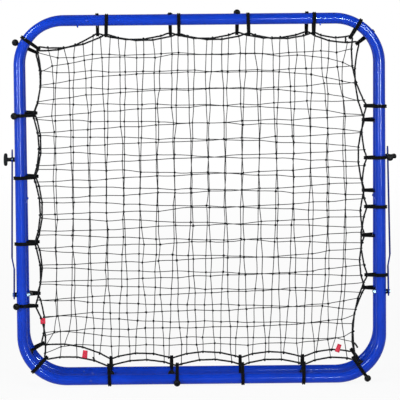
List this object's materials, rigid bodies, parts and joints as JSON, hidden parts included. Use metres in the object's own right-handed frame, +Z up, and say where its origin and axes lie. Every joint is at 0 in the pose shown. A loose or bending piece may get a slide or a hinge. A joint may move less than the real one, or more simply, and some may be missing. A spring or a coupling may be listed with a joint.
{
  "type": "pitch back rebounder",
  "caption": "Folding two-sided ball rebounder: two square tube frames hinged at the top, each with a corded net on elastic ball loops, with notched side struts and hand knobs.",
  "frame": {"origin": "on the ground, under the hinge line, midway across the frames and midway between them", "axes": "+X to the right as one faces the front net, +Y from the front frame to the rear frame, +Z up"},
  "size_m": [1.0722, 0.2013, 1.0142],
  "materials": {
    "blue_paint": "royal blue gloss powder coat on steel",
    "zinc_steel": "bright zinc plate",
    "net_twine": "black knotted polyethylene twine",
    "border_rope": "black braided rope",
    "elastic_cord": "black woven sheath over elastic",
    "black_plastic": "satin moulded black plastic",
    "red_fabric": "woven red tape"
  },
  "bodies": {
    "front_frame": {"front_top_tube": "blue_paint", "front_bottom_tube": "blue_paint", "front_upper_left_corner_tube": "blue_paint", "front_upper_right_corner_tube": "blue_paint", "front_lower_left_corner_tube": "blue_paint", "front_lower_right_corner_tube": "blue_paint", "front_snap_buttons": "blue_paint", "front_hinge_ears": "blue_paint", "hinge_bolts": "zinc_steel", "hinge_lock_nuts": "zinc_steel", "front_net": "net_twine", "front_border_rope": "border_rope", "front_bungee_loops": "elastic_cord", "front_ground_bungee_loops": "elastic_cord", "front_bungee_balls": "black_plastic", "net_tags": "red_fabric", "strut_pivot_bolts": "zinc_steel", "strut_spacers": "black_plastic", "strut_dome_nuts": "zinc_steel"},
    "rear_frame": {"rear_top_tube": "blue_paint", "rear_bottom_tube": "blue_paint", "rear_upper_left_corner_tube": "blue_paint", "rear_upper_right_corner_tube": "blue_paint", "rear_lower_left_corner_tube": "blue_paint", "rear_lower_right_corner_tube": "blue_paint", "rear_snap_buttons": "blue_paint", "rear_hinge_ears": "blue_paint", "rear_net": "net_twine", "rear_border_rope": "border_rope", "rear_bungee_loops": "elastic_cord", "rear_ground_bungee_loops": "elastic_cord", "rear_bungee_balls": "black_plastic", "threaded_inserts": "zinc_steel", "knob_spacers": "black_plastic", "bottom_rivets": "blue_paint"},
    "left_strut": {"left_strut": "blue_paint"},
    "right_strut": {"right_strut": "blue_paint"},
    "left_knob": {"left_knob": "black_plastic", "left_knob_stud": "zinc_steel"},
    "right_knob": {"right_knob": "black_plastic", "right_knob_stud": "zinc_steel"}
  },
  "joints": [
    {"name": "frame_fold", "type": "hinge", "parent": "front_frame", "child": "rear_frame", "pos_m": [0, 0, 0.9882], "axis": [1, 0, 0], "range_deg": [0, 21]},
    {"name": "left_strut_swing", "type": "hinge", "parent": "front_frame", "child": "left_strut", "pos_m": [-0.5065, -0.05474, 0.25166], "axis": [1, 0, 0], "range_deg": [-63, 0]},
    {"name": "right_strut_swing", "type": "hinge", "parent": "front_frame", "child": "right_strut", "pos_m": [0.5065, -0.05474, 0.25166], "axis": [1, 0, 0], "range_deg": [-63, 0]},
    {"name": "left_knob_turn", "type": "hinge", "parent": "rear_frame", "child": "left_knob", "pos_m": [-0.52, 0.04221, 0.61044], "axis": [1, 0, 0], "continuous": true},
    {"name": "right_knob_turn", "type": "hinge", "parent": "rear_frame", "child": "right_knob", "pos_m": [0.52, 0.04221, 0.61044], "axis": [1, 0, 0], "continuous": true}
  ],
  "couplings": [
    {"joint": "left_strut_swing", "follows": "frame_fold", "ratio": -3},
    {"joint": "right_strut_swing", "follows": "frame_fold", "ratio": -3}
  ]
}
